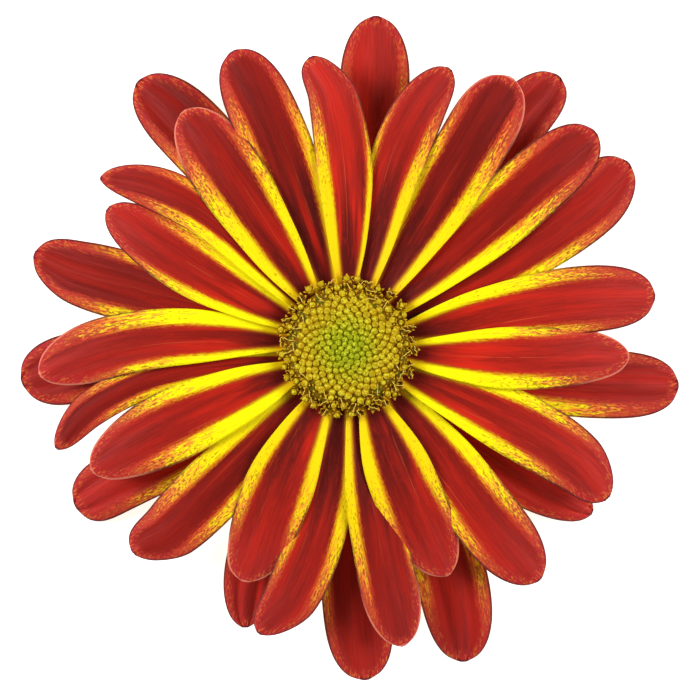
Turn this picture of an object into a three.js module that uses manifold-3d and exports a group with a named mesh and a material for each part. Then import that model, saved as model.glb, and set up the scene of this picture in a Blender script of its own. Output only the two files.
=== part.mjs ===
// A daisy-flowered chrysanthemum bloom, cut just under its head and lying face up.
// Millimetres, +Z up. The origin is the middle of the stalk's flat cut face, on which the
// bloom rests, and +X and +Y run across its face.
import * as THREE from 'three';
import { mergeVertices } from 'three/addons/utils/BufferGeometryUtils.js';
import Module from 'manifold-3d';

const wasm = await Module();
wasm.setup();

// Ray florets: where they spring from, and how thick their blades are.
const RAY_ROOT_RADIUS = 5.6;
const UPPER_ROOT_HEIGHT = 8.0;
const LOWER_ROOT_HEIGHT = 6.4;
const RAY_THICKNESS = 0.64;

// Outline of a ray floret: its width at the root and at the very end, as shares of its full
// width, and the share of its length past which a turned end bends.
const NECK_WIDTH = 0.12;
const END_WIDTH = 0.14;
const TIP_TURN_START = 0.82;

// Relief of a ray floret in millimetres: the channel of its narrow foot, the arch of its
// blade, its two lengthwise grooves, and how far an edge lies over or under the next floret.
const CHANNEL_DEPTH = 0.55;
const BLADE_ARCH = 0.5;
const UPPER_GROOVE = 0.12;
const LOWER_GROOVE = 0.36;
const GROOVE_AT = 0.38;
const GROOVE_SPREAD = 0.17;
const OVERLAP_LIFT = 0.5;

// Rise and fall of the upper ray florets, and the first rise of the lower ones.
const UPPER_RISE = 5.8;
const UPPER_TIP_HEIGHT = 6.7;
const LOWER_RISE = 1.0;

// Each floret's azimuths are in degrees from +X at its root, half way and at its tip. Its
// reach is from the middle of the bloom to its tip. Belly is where along it the floret is
// widest, and blunt how square its end is from 2, an ellipse. Where its end bends sideways,
// tipTurn says how far anticlockwise, and groove makes its grooves deeper than the others'.
const RAY_HABIT = { belly: 0.68, blunt: 2.2, tipTurn: 0, groove: 1 };

// The upper ray florets run clockwise from the top of the face, and over says whether each
// lies over the next (1) or under it (-1).
const UPPER_RAYS = [
  {
    azimuths: [90, 90.7, 95.4], reach: 33.9, width: 6.3, over: 1,
    belly: 0.58, blunt: 3.2, tipTurn: 1.0,
  },
  { azimuths: [72.9, 75.2, 70], reach: 34.2, width: 6.3, over: 1, blunt: 2.6, tipTurn: -0.2 },
  { azimuths: [57, 57.9, 58.7], reach: 36.3, width: 8.15, over: 1, belly: 0.74, blunt: 2.5 },
  { azimuths: [40.5, 41, 40.9], reach: 37.8, width: 7.9, over: 1, blunt: 3.0 },
  {
    azimuths: [27, 28.5, 32.8], reach: 38.8, width: 7.5, over: -1,
    belly: 0.75, blunt: 3.0, tipTurn: 0.3, groove: 2.5,
  },
  { azimuths: [13.5, 12.6, 9.2], reach: 35.9, width: 7.6, over: -1 },
  { azimuths: [-6, -3.9, -1.1], reach: 32.4, width: 7.2, over: 1, belly: 0.58, tipTurn: -0.3 },
  { azimuths: [-24.5, -24.5, -29], reach: 34.9, width: 7.8, over: 1, blunt: 2.1, tipTurn: -0.7 },
  { azimuths: [-47, -50.2, -50.3], reach: 34.8, width: 8.0, over: -1, belly: 0.67, blunt: 2.5 },
  { azimuths: [-66.5, -67.5, -66], reach: 28.7, width: 8.0, over: 1, belly: 0.56 },
  { azimuths: [-81.5, -80.7, -79.3], reach: 35.0, width: 6.7, over: 1, belly: 0.72, blunt: 2.4 },
  { azimuths: [-96, -98.5, -105.9], reach: 34.8, width: 6.7, over: -1, tipTurn: -0.8 },
  {
    azimuths: [-117, -115.9, -112.5], reach: 29.3, width: 8.0, over: 1,
    belly: 0.6, blunt: 2.6, tipTurn: -0.5,
  },
  {
    azimuths: [-133, -133.3, -134.3], reach: 34.2, width: 7.7, over: -1, blunt: 2.4,
    tipTurn: -1.0,
  },
  { azimuths: [-155, -155.9, -154.1], reach: 32.6, width: 8.2, over: 1, belly: 0.6 },
  {
    azimuths: [-169, -171.3, -161.4], reach: 35.7, width: 4.4, over: -1,
    belly: 0.7, blunt: 2.3, tipTurn: 0.5,
  },
  { azimuths: [-186, -183, -174.8], reach: 35.5, width: 7.1, over: -1, blunt: 2.5 },
  { azimuths: [-205.5, -207.5, -210.1], reach: 31.8, width: 7.0, over: -1, belly: 0.62 },
  { azimuths: [-220.8, -223.6, -214.4], reach: 34.4, width: 5.2, over: -1, blunt: 2.3 },
  { azimuths: [-232.5, -235.2, -235.2], reach: 33.0, width: 8.1, over: 1, belly: 0.7, blunt: 2.3 },
  {
    azimuths: [-251.5, -251.3, -248.8], reach: 36.5, width: 8.0, over: -1,
    belly: 0.72, blunt: 2.5,
  },
];

// The lower ray florets show between the upper ones. Their tips hang at the clearance given
// over the surface that the bloom lies on, and the lowest ones all but touch it.
const LOWER_RAYS = [
  { azimuths: [80, 82.8, 85], reach: 38.7, width: 8.0, clearance: 0.5, belly: 0.72, blunt: 2.8 },
  {
    azimuths: [51, 52.6, 52.6], reach: 40.1, width: 7.1, clearance: 0.02,
    belly: 0.74, blunt: 3.2, tipTurn: -0.4,
  },
  {
    azimuths: [-12, -9.5, -6.4], reach: 38.9, width: 7.65, clearance: 0.02,
    belly: 0.72, blunt: 2.9,
  },
  { azimuths: [-36, -36.6, -33], reach: 34.4, width: 6.4, clearance: 1.4, belly: 0.66 },
  {
    azimuths: [-61, -63.5, -69.7], reach: 39.1, width: 8.25, clearance: 0.02,
    belly: 0.72, blunt: 3.0,
  },
  {
    azimuths: [-90, -88.7, -86.7], reach: 38.8, width: 7.8, clearance: 0.7,
    belly: 0.74, blunt: 3.3,
  },
  { azimuths: [-110, -114.4, -110], reach: 34.7, width: 6.8, clearance: 1.2, belly: 0.66 },
  {
    azimuths: [-144, -148, -150.1], reach: 36.7, width: 7.3, clearance: 0.02,
    belly: 0.74, blunt: 4.0, tipTurn: 0.3,
  },
  {
    azimuths: [-178, -177.5, -173.8], reach: 38.1, width: 7.95, clearance: 0.4,
    belly: 0.72, blunt: 3.1,
  },
  {
    azimuths: [-198.5, -195.7, -195.8], reach: 38.0, width: 7.95, clearance: 1.0,
    belly: 0.7, blunt: 2.7, tipTurn: -0.5,
  },
  {
    azimuths: [-238, -236.2, -231.7], reach: 39.4, width: 8.15, clearance: 0.02,
    belly: 0.72, blunt: 2.6,
  },
];

// Where a blade's cross-sections lie along it, and its lengthwise lines from edge to edge.
const RAY_STATIONS = [0, 0.2, 0.4, 0.6, 0.78, 0.9, 0.97, 1];
const RAY_LINES = [1, 0.38, 0, -0.38, -1];

// The ring in which all the ray florets are rooted.
const RING_INNER_RADIUS = 4.4;
const RING_OUTER_RADIUS = 7.2;
const RING_BOTTOM = 5.5;
const RING_TOP = 8.7;
const RING_BEVEL = 0.5;

// The disc: a plug through the ring, and the dome that carries the small florets.
const PLUG_RADIUS = 4.1;
const PLUG_BOTTOM = 5.5;
const DOME_UNDERSIDE = [9.0, 9.7];
const DOME_RADIUS = 7.0;
const DOME_EDGE_HEIGHT = 10.2;
const DOME_TOP_HEIGHT = 12.2;
const GOLDEN_ANGLE = Math.PI * (3 - Math.sqrt(5));
const BUD_COUNT = 84;
const BUD_FIELD_RADIUS = 5.7;
const BUD_RADII = [0.52, 0.63];
const BUD_LENGTH = 1.1;
const BUD_TAPER = 0.66;
const OPEN_FLORETS_IN_RING = 16;
const OPEN_FLORET_LENGTH = 1.5;
const OPEN_FLORET_RADII = [0.34, 0.66];
const OPEN_FLORET_RINGS = [
  { radius: 6.3, height: 10.7, lean: 0.45 },
  { radius: 7.1, height: 10.15, lean: 0.95 },
];

// The green back of the head: stalk stub, receptacle and rows of bracts.
const STALK_RADIUS = 2.0;
const RECEPTACLE_TOP = 5.2;
const BRACT_THICKNESS = 0.62;
const BRACT_ROWS = [
  { count: 9, root: [2.6, 2.3], tip: [6.4, 3.6], width: 3.2, turn: 0 },
  { count: 10, root: [3.9, 3.0], tip: [7.9, 4.6], width: 3.8, turn: 0.5 },
  { count: 12, root: [5.4, 3.9], tip: [9.2, 5.0], width: 3.8, turn: 0.2 },
];
const BRACT_STATIONS = [0, 0.6, 1];
const BRACT_LINES = [1, 0, -1];
const BRACT_CUPPING = 0.3;

const RAY_MATERIAL = { color: 0xa5151a, roughness: 0.55, metalness: 0 };
const DISC_MATERIAL = { color: 0x98a31a, roughness: 0.7, metalness: 0 };
const GREEN_MATERIAL = { color: 0x4f7a2c, roughness: 0.65, metalness: 0 };

function smoothstep(value) {
  const t = THREE.MathUtils.clamp(value, 0, 1);
  return t * t * (3 - 2 * t);
}

// Turns a closed geometry into a solid that can be joined to others.
function toSolid(geometry) {
  const bare = geometry.clone();
  bare.deleteAttribute('normal');
  bare.deleteAttribute('uv');
  const merged = mergeVertices(bare, 1e-4);
  return new wasm.Manifold(new wasm.Mesh({
    numProp: 3,
    vertProperties: new Float32Array(merged.getAttribute('position').array),
    triVerts: new Uint32Array(merged.getIndex().array),
  }));
}

// Joins solids into one body. Hollows that the joining seals are filled.
function fuse(solids) {
  const joined = solids.reduce((whole, piece) => whole.add(piece));
  return joined.decompose().reduce((a, b) => (b.volume() > a.volume() ? b : a));
}

function toMesh(name, solid, material) {
  const { vertProperties, triVerts } = solid.getMesh();
  const geometry = new THREE.BufferGeometry();
  geometry.setAttribute('position', new THREE.BufferAttribute(new Float32Array(vertProperties), 3));
  geometry.setIndex(new THREE.BufferAttribute(new Uint32Array(triVerts), 1));
  geometry.computeVertexNormals();
  const mesh = new THREE.Mesh(geometry, new THREE.MeshStandardMaterial(material));
  mesh.name = name;
  return mesh;
}

// A turned body about the Z axis from [radius, height] pairs.
function turnedSolid(outline, sides) {
  const profile = outline.map(([radius, height]) => new THREE.Vector2(radius, height));
  return toSolid(new THREE.LatheGeometry(profile, sides).rotateX(Math.PI / 2));
}

// A curved blade of even thickness. middle(along, across) gives its middle surface, with
// along from 0 at the root to 1 at the tip and across from -1 to 1 between the edges. Both
// faces have the same triangles, so that they stay clear of each other.
function bladeSolid(middle, stations, lines, thickness) {
  const columns = stations.length;
  const rows = lines.length;
  const sheet = new THREE.PlaneGeometry(1, 1, columns - 1, rows - 1);
  const faces = Array.from(sheet.getIndex().array);
  const count = columns * rows;
  const points = new Float32Array(count * 2 * 3);
  for (let index = 0; index < count; index += 1) {
    const along = stations[index % columns];
    const across = lines[Math.floor(index / columns)];
    const centre = middle(along, across);
    const normal = surfaceNormal(middle, along, across);
    centre.clone().addScaledVector(normal, thickness / 2).toArray(points, index * 3);
    centre.clone().addScaledVector(normal, -thickness / 2).toArray(points, (count + index) * 3);
  }
  const triangles = [...faces];
  for (let face = 0; face < faces.length; face += 3) {
    triangles.push(count + faces[face], count + faces[face + 2], count + faces[face + 1]);
  }
  const rim = rimOfGrid(columns, rows);
  rim.forEach((start, place) => {
    const end = rim[(place + 1) % rim.length];
    triangles.push(count + start, count + end, end, count + start, end, start);
  });
  const geometry = new THREE.BufferGeometry();
  geometry.setAttribute('position', new THREE.BufferAttribute(points, 3));
  geometry.setIndex(triangles);
  return toSolid(geometry);
}

// The border of a grid of vertices, anticlockwise seen from above.
function rimOfGrid(columns, rows) {
  const rim = [];
  const lastRow = (rows - 1) * columns;
  for (let column = 0; column < columns - 1; column += 1) rim.push(lastRow + column);
  for (let row = rows - 1; row > 0; row -= 1) rim.push(row * columns + columns - 1);
  for (let column = columns - 1; column > 0; column -= 1) rim.push(column);
  for (let row = 0; row < rows - 1; row += 1) rim.push(row * columns);
  return rim;
}

function surfaceNormal(middle, along, across) {
  const step = 0.01;
  const alongStep = middle(along + step, across).sub(middle(along - step, across));
  const acrossStep = middle(along, across + step).sub(middle(along, across - step));
  return alongStep.cross(acrossStep).normalize();
}

function rayWidthShare(ray, along) {
  if (along < ray.belly) return 1 - (1 - NECK_WIDTH) * (1 - along / ray.belly) ** 2;
  const tip = Math.min(1, (along - ray.belly) / (1 - ray.belly));
  return Math.sqrt(Math.max(END_WIDTH ** 2, 1 - tip ** ray.blunt));
}

// Middle line of a ray floret: its azimuth runs smoothly through the three given, and its
// height rises from the root and falls to the tip.
function rayCentre(ray, along) {
  const [root, halfWay, tip] = ray.azimuths;
  const degrees = root * (1 - along) * (1 - 2 * along)
    + halfWay * 4 * along * (1 - along)
    + tip * along * (2 * along - 1);
  const azimuth = THREE.MathUtils.degToRad(degrees);
  const radius = RAY_ROOT_RADIUS + (ray.reach - RAY_ROOT_RADIUS) * along;
  const fall = ray.tipHeight - ray.rootHeight - ray.rise;
  const height = ray.rootHeight + ray.rise * along + fall * along ** 2;
  return new THREE.Vector3(radius * Math.cos(azimuth), radius * Math.sin(azimuth), height);
}

// How near a lengthwise line is to one of the two grooves, from 0 to 1.
function grooveShare(across) {
  return Math.exp(-(((Math.abs(across) - GROOVE_AT) / GROOVE_SPREAD) ** 2));
}

// Height of a ray floret's surface above its middle line.
function rayRelief(ray, along, across) {
  const edge = across ** 2;
  const outer = smoothstep((along - 0.3) / 0.6);
  const channel = CHANNEL_DEPTH * (1 - along) ** 2 * edge;
  const arch = -BLADE_ARCH * outer * edge;
  const groove = -ray.grooveDepth * ray.groove * outer * grooveShare(across);
  const overlap = (ray.lifts[0] * (1 - across) + ray.lifts[1] * (1 + across)) / 2;
  const hold = smoothstep(along / 0.3) * (1 - 0.5 * smoothstep((along - 0.6) / 0.4));
  return channel + arch + groove + OVERLAP_LIFT * overlap * hold;
}

function rayPoint(ray, along, across) {
  const centre = rayCentre(ray, along);
  const heading = rayCentre(ray, along + 0.01).sub(rayCentre(ray, along - 0.01)).setZ(0).normalize();
  const side = new THREE.Vector3(-heading.y, heading.x, 0);
  const bend = ray.tipTurn * smoothstep((along - TIP_TURN_START) / (1 - TIP_TURN_START));
  return centre
    .addScaledVector(side, across * rayWidthShare(ray, along) * ray.width / 2 + bend)
    .add(new THREE.Vector3(0, 0, rayRelief(ray, along, across)));
}

// Edge lifts of the upper ray florets, clockwise edge first, from the order in which each
// lies over its neighbours.
function upperRays() {
  return UPPER_RAYS.map((ray, index) => {
    const before = UPPER_RAYS[(index + UPPER_RAYS.length - 1) % UPPER_RAYS.length];
    return {
      ...RAY_HABIT,
      ...ray,
      lifts: [ray.over, -before.over],
      grooveDepth: UPPER_GROOVE,
      rise: UPPER_RISE,
      rootHeight: UPPER_ROOT_HEIGHT,
      tipHeight: UPPER_TIP_HEIGHT,
    };
  });
}

// Each lower ray floret's tip is set so that the lowest corner of its underside has the
// clearance given.
function lowerRays() {
  return LOWER_RAYS.map((ray) => {
    const level = {
      ...RAY_HABIT,
      ...ray,
      lifts: [0, 0],
      grooveDepth: LOWER_GROOVE,
      rise: LOWER_RISE,
      rootHeight: LOWER_ROOT_HEIGHT,
      tipHeight: 0,
    };
    const middle = (along, across) => rayPoint(level, along, across);
    const corners = RAY_LINES.map((across) => (
      middle(1, across).z - surfaceNormal(middle, 1, across).z * RAY_THICKNESS / 2
    ));
    return { ...level, tipHeight: ray.clearance - Math.min(...corners) };
  });
}

function rayFlorets() {
  const ring = turnedSolid([
    [RING_INNER_RADIUS, RING_BOTTOM],
    [RING_OUTER_RADIUS - RING_BEVEL, RING_BOTTOM],
    [RING_OUTER_RADIUS, RING_BOTTOM + RING_BEVEL],
    [RING_OUTER_RADIUS, RING_TOP - RING_BEVEL],
    [RING_OUTER_RADIUS - RING_BEVEL, RING_TOP],
    [RING_INNER_RADIUS, RING_TOP],
    [RING_INNER_RADIUS, RING_BOTTOM],
  ], 32);
  const blades = [...upperRays(), ...lowerRays()].map((ray) => bladeSolid(
    (along, across) => rayPoint(ray, along, across), RAY_STATIONS, RAY_LINES, RAY_THICKNESS,
  ));
  return toMesh('ray_florets', fuse([ring, ...blades]), RAY_MATERIAL);
}

function domeHeight(radius) {
  const share = Math.min(1, radius / DOME_RADIUS);
  return DOME_EDGE_HEIGHT + (DOME_TOP_HEIGHT - DOME_EDGE_HEIGHT) * Math.sqrt(1 - share ** 2);
}

// Closed buds in the golden-angle spiral of the disc, small in the middle and larger outside.
function discBuds() {
  return Array.from({ length: BUD_COUNT }, (_, index) => {
    const share = Math.sqrt((index + 0.5) / BUD_COUNT);
    const radius = BUD_FIELD_RADIUS * share;
    const azimuth = index * GOLDEN_ANGLE;
    const size = THREE.MathUtils.lerp(...BUD_RADII, share);
    const bud = new THREE.CylinderGeometry(size * BUD_TAPER, size, BUD_LENGTH, 5);
    bud.rotateX(Math.PI / 2);
    bud.rotateZ(azimuth);
    bud.translate(radius * Math.cos(azimuth), radius * Math.sin(azimuth), domeHeight(radius));
    return toSolid(bud);
  });
}

// Open florets round the disc's edge: short trumpets that lean outwards.
function openFlorets() {
  return OPEN_FLORET_RINGS.flatMap(({ radius, height, lean }, ring) => (
    Array.from({ length: OPEN_FLORETS_IN_RING }, (_, index) => {
      const azimuth = ((index + ring / 2) / OPEN_FLORETS_IN_RING) * 2 * Math.PI;
      const [foot, mouth] = OPEN_FLORET_RADII;
      const trumpet = new THREE.CylinderGeometry(mouth, foot, OPEN_FLORET_LENGTH, 5);
      trumpet.rotateX(Math.PI / 2);
      trumpet.rotateY(lean);
      trumpet.rotateZ(azimuth);
      trumpet.translate(radius * Math.cos(azimuth), radius * Math.sin(azimuth), height);
      return toSolid(trumpet);
    })
  ));
}

function discFlorets() {
  const domeSteps = [1, 0.85, 0.55];
  const core = turnedSolid([
    [0, PLUG_BOTTOM],
    [PLUG_RADIUS, PLUG_BOTTOM],
    [PLUG_RADIUS, DOME_UNDERSIDE[0]],
    [DOME_RADIUS, DOME_UNDERSIDE[1]],
    ...domeSteps.map((share) => [DOME_RADIUS * share, domeHeight(DOME_RADIUS * share)]),
    [0, DOME_TOP_HEIGHT],
  ], 20);
  return toMesh('disc_florets', fuse([core, ...discBuds(), ...openFlorets()]), DISC_MATERIAL);
}

// A bract of the involucre: a pointed scale that clasps the back of the head.
function bractPoint(row, azimuth, along, across) {
  const radius = THREE.MathUtils.lerp(row.root[0], row.tip[0], along);
  const height = THREE.MathUtils.lerp(row.root[1], row.tip[1], along * (1.4 - 0.4 * along));
  const taper = Math.sqrt(Math.max(0.05, 1 - along ** 2)) * (0.75 + 0.25 * smoothstep(along * 2));
  const side = across * taper * row.width / 2;
  return new THREE.Vector3(radius, side, height + BRACT_CUPPING * across ** 2)
    .applyAxisAngle(new THREE.Vector3(0, 0, 1), azimuth);
}

function involucre() {
  const body = turnedSolid([
    [0, 0],
    [STALK_RADIUS, 0],
    [STALK_RADIUS * 0.92, 1.4],
    [STALK_RADIUS * 1.3, 2.2],
    [4.6, 3.1],
    [6.4, 4.2],
    [6.9, RECEPTACLE_TOP],
    [0, RECEPTACLE_TOP],
  ], 20);
  const bracts = BRACT_ROWS.flatMap((row) => Array.from({ length: row.count }, (_, index) => {
    const azimuth = ((index + row.turn) / row.count) * 2 * Math.PI;
    return bladeSolid(
      (along, across) => bractPoint(row, azimuth, along, across),
      BRACT_STATIONS, BRACT_LINES, BRACT_THICKNESS,
    );
  }));
  return toMesh('involucre', fuse([body, ...bracts]), GREEN_MATERIAL);
}

const bloom = new THREE.Group();
bloom.name = 'chrysanthemum_bloom';
bloom.add(rayFlorets(), discFlorets(), involucre());

export default bloom;
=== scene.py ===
"""The looks of a daisy-flowered chrysanthemum bloom that was cut short and lies face up.

It makes the ray florets, the disc with its buds and open florets, and the green back of the
head, each with its own material, and the floor, lights and camera round them. Positions are
worked out in millimetres and become metres where a mesh is made.
"""

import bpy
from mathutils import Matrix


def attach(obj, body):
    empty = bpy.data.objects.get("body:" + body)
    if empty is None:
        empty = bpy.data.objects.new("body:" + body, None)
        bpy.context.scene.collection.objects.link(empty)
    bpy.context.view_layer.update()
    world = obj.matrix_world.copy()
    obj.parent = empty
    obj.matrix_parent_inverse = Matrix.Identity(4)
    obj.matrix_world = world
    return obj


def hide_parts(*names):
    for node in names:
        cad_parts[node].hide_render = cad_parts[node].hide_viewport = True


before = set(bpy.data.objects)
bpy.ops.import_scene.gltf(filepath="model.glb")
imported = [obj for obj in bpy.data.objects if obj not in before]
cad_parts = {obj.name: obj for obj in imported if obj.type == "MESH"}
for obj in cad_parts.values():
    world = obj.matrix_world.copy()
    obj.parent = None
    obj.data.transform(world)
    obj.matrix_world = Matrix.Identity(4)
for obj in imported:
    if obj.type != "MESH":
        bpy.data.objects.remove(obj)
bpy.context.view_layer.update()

import math
import random
from functools import partial
from typing import NamedTuple

import bmesh
import bpy
from bpy.props import FloatProperty, FloatVectorProperty, IntProperty, PointerProperty
from mathutils import Matrix, Vector

bl_info = {
    "name": "Chrysanthemum Bloom",
    "version": (1, 0, 0),
    "blender": (4, 5, 0),
    "location": "View3D > Sidebar > Bloom",
    "description": "Builds a daisy-flowered chrysanthemum bloom, lying face up",
    "category": "Add Mesh",
}

MM = 0.001
BODY = "root"

# The camera's frame in millimetres: what the image spans, what lies in its middle, and the
# height of the face at which that holds.
IMAGE_SPAN = 80.5
IMAGE_CENTRE = (0.345, -0.115)
FACE_HEIGHT = 7.0
CAMERA_LENS = 200.0
CAMERA_SENSOR = 36.0

# Light: a lamp on either side, with its place in metres and its power in watts.
LEFT_LAMP = (-0.34, 0.1, 0.3)
LEFT_POWER = 1.81
RIGHT_LAMP = (0.34, 0.04, 0.3)
RIGHT_POWER = 1.44
LAMP_SIZE = 0.22
SKY_STRENGTH = 0.235

# How much the floor shines, so that it is nearly white, and its distance under the bloom.
FLOOR_GLOW = 0.75
FLOOR_GAP = 0.05

GOLDEN_ANGLE = math.pi * (3 - math.sqrt(5))

# Where the ray florets spring from, how much they rise there, and how high the upper ones'
# tips lie, in millimetres.
RAY_ROOT_RADIUS = 5.6
UPPER_ROOT_HEIGHT = 8.0
LOWER_ROOT_HEIGHT = 6.4
UPPER_RISE = 5.8
UPPER_TIP_HEIGHT = 6.7
LOWER_RISE = 1.0

# Outline of a ray floret: its width at the root and at the very end, as shares of its full
# width.
NECK_WIDTH = 0.2
END_WIDTH = 0.08

# Relief of a ray floret in millimetres: the channel at its root, the arch beyond it, its two
# grooves with their place and spread as shares of half its width, and the lift of an edge that
# lies over the next floret.
CHANNEL_DEPTH = 0.55
BLADE_ARCH = 0.5
UPPER_GROOVE = 0.12
LOWER_GROOVE = 0.36
GROOVE_AT = 0.38
GROOVE_SPREAD = 0.17
OVERLAP_LIFT = 0.36

# Length of a ray floret over half its width, roughly.
BLADE_SLIMNESS = 8.0

# Depth in millimetres of the two notches in a ray floret's end, and where they lie as a share
# of half the full width.
TIP_NOTCH = 0.05
NOTCH_AT = 0.3
NOTCH_SPREAD = 0.14

# Unevenness of a ray floret: its waves over the length, in radians, and their depth in
# millimetres. It rolls from side to side, both edges curl, it ripples and its outline wavers.
ROLL_WAVES = 9
CURL_WAVES = 14
ROLL_DEPTH = 0.06
RIPPLE_WAVES = 6
RIPPLE_DEPTH = 0.05
WAVER_WAVES = 13
WAVER_DEPTH = 0.07

# How bright the red of the most shaded and of the most lit ray floret is, which is painted light
# and shade, how far the painted glint lies off the middle, and how wide the mottled fringe round
# a tip is, as shares of half the full width.
BAND_TONES = (0.62, 1.38)
GLINT_REACH = 0.35
FRINGE_WIDTH = 0.11

# Width of the red band at the tip and what it has lost at the root, as shares of its width half
# way along, and the power by which it narrows.
BAND_AT_TIP = 1.22
BAND_LOSS = 1.05
BAND_NARROWING = 2.6

# Layers of the lengthwise fibres: how often each repeats along a blade and across half its
# width, its shift in the noise and how finely it is broken up.
FIBRES = "Lengthwise fibres"
FIBRE_LAYERS = {
    "Broad": (1.6, 2.5, 0.0, 2.0),
    "Fine": (7.0, 20.0, 7.0, 2.0),
    "Flecks": (20.0, 16.0, 19.0, 3.0),
    "Dots": (58.0, 22.0, 13.0, 5.0),
}
MOTTLE = "Soft mottle"
GRAIN_FINENESS = 5.0

# Part of the noise's range that the groups stretch to 0 to 1.
NOISE_RANGE = (0.3, 0.7)

# A ray floret's tip lies over a lower one that reaches further within this angle, in degrees.
COVER_ANGLE = 9.0

# Steps of a blade's grid, along it and across it, and how much closer they are set at the tip.
RAY_STEPS = (78, 22)
BRACT_STEPS = (26, 14)
TIP_CROWDING = 1.35


class Ray(NamedTuple):
    """One ray floret: azimuths in degrees from +X at its root, half way and at its tip, then
    its reach and full width in millimetres. over says whether an upper one lies over the next
    one clockwise (1) or under it (-1), and clearance how high a lower one's tip hangs. belly is
    where along it the floret is widest, blunt how square its end is from 2, an ellipse,
    tip_turn how far its end bends anticlockwise in millimetres, and groove how many times as
    deep as the others' its grooves are. band is where the red band ends half way along, on the
    anticlockwise side and on the other, as shares of half the full width. tone is painted light
    and shade: how brightly its red is lit, from 0 to 1."""

    azimuths: tuple
    reach: float
    width: float
    over: int = 0
    clearance: float = 0.0
    belly: float = 0.68
    blunt: float = 2.2
    tip_turn: float = 0.0
    groove: float = 1.0
    band: tuple = (0.55, 0.55)
    tone: float = 0.5


# The upper ray florets, clockwise from the top of the face.
UPPER_RAYS = (
    Ray((90, 90.7, 95.4), 33.9, 6.3, over=1,
        belly=0.58, blunt=3.2, tip_turn=1.0, band=(0.44, 0.73), tone=0.92),
    Ray((72.9, 75.2, 70), 34.2, 6.3, over=1, blunt=2.6, tip_turn=-0.2, band=(0.66, 0.45), tone=0.65),
    Ray((57, 57.9, 58.7), 36.3, 8.15, over=1, belly=0.74, blunt=2.5, band=(0.58, 0.43), tone=0.0),
    Ray((40.5, 41, 40.9), 37.8, 7.9, over=1, blunt=3.0, band=(0.52, 0.48), tone=0.2),
    Ray((27, 28.5, 32.8), 38.8, 7.8, over=-1,
        belly=0.75, blunt=3.0, tip_turn=0.3, groove=2.5, band=(0.42, 0.53), tone=0.4),
    Ray((13.5, 12.6, 9.2), 35.9, 7.6, over=-1, blunt=3.8, band=(0.48, 0.57), tone=0.85),
    Ray((-6, -3.9, -1.1), 32.4, 7.2, over=1, belly=0.58, tip_turn=-0.3, band=(0.58, 0.46), tone=0.85),
    Ray((-26, -24.5, -29), 34.9, 7.8, over=1, blunt=2.1, tip_turn=-0.7, band=(0.52, 0.52), tone=0.65),
    Ray((-45, -50.2, -50.3), 34.8, 8.0, over=-1, belly=0.67, blunt=2.5, band=(0.48, 0.5), tone=0.65),
    Ray((-66.5, -67.5, -66), 28.7, 8.0, over=1, belly=0.56, band=(0.57, 0.54), tone=0.6),
    Ray((-81.5, -80.7, -79.3), 35.0, 6.7, over=1, belly=0.72, blunt=2.4, band=(0.7, 0.5), tone=0.45),
    Ray((-96, -98.5, -105.9), 34.8, 6.7, over=-1, tip_turn=-0.8, band=(0.46, 0.57), tone=0.6),
    Ray((-117, -115.9, -112.5), 29.3, 8.0, over=1,
        belly=0.6, blunt=2.6, tip_turn=-0.5, band=(0.56, 0.55), tone=0.65),
    Ray((-133, -133.3, -134.3), 34.2, 7.7, over=-1, blunt=2.4, tip_turn=-1.0, band=(0.48, 0.43), tone=0.1),
    Ray((-155, -155.9, -154.1), 32.6, 8.2, over=1, belly=0.6, band=(0.42, 0.53), tone=0.55),
    Ray((-169, -171.3, -161.4), 35.7, 4.4, over=-1,
        belly=0.7, blunt=2.3, tip_turn=0.5, band=(0.45, 0.45), tone=0.1),
    Ray((-186, -183, -174.8), 35.5, 7.1, over=-1, blunt=2.5, band=(0.6, 0.36)),
    Ray((-205.5, -207.5, -210.1), 31.8, 7.0, over=-1, belly=0.62, band=(0.6, 0.48), tone=0.6),
    Ray((-220.8, -223.6, -214.4), 34.4, 5.2, over=-1, blunt=2.3, band=(0.4, 0.5), tone=0.3),
    Ray((-232.5, -235.2, -235.2), 33.0, 8.1, over=1, belly=0.7, blunt=2.3, band=(0.42, 0.54), tone=0.2),
    Ray((-251.5, -251.3, -248.8), 36.5, 8.0, over=-1, belly=0.72, blunt=2.5, band=(0.45, 0.56), tone=0.05),
)

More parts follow.
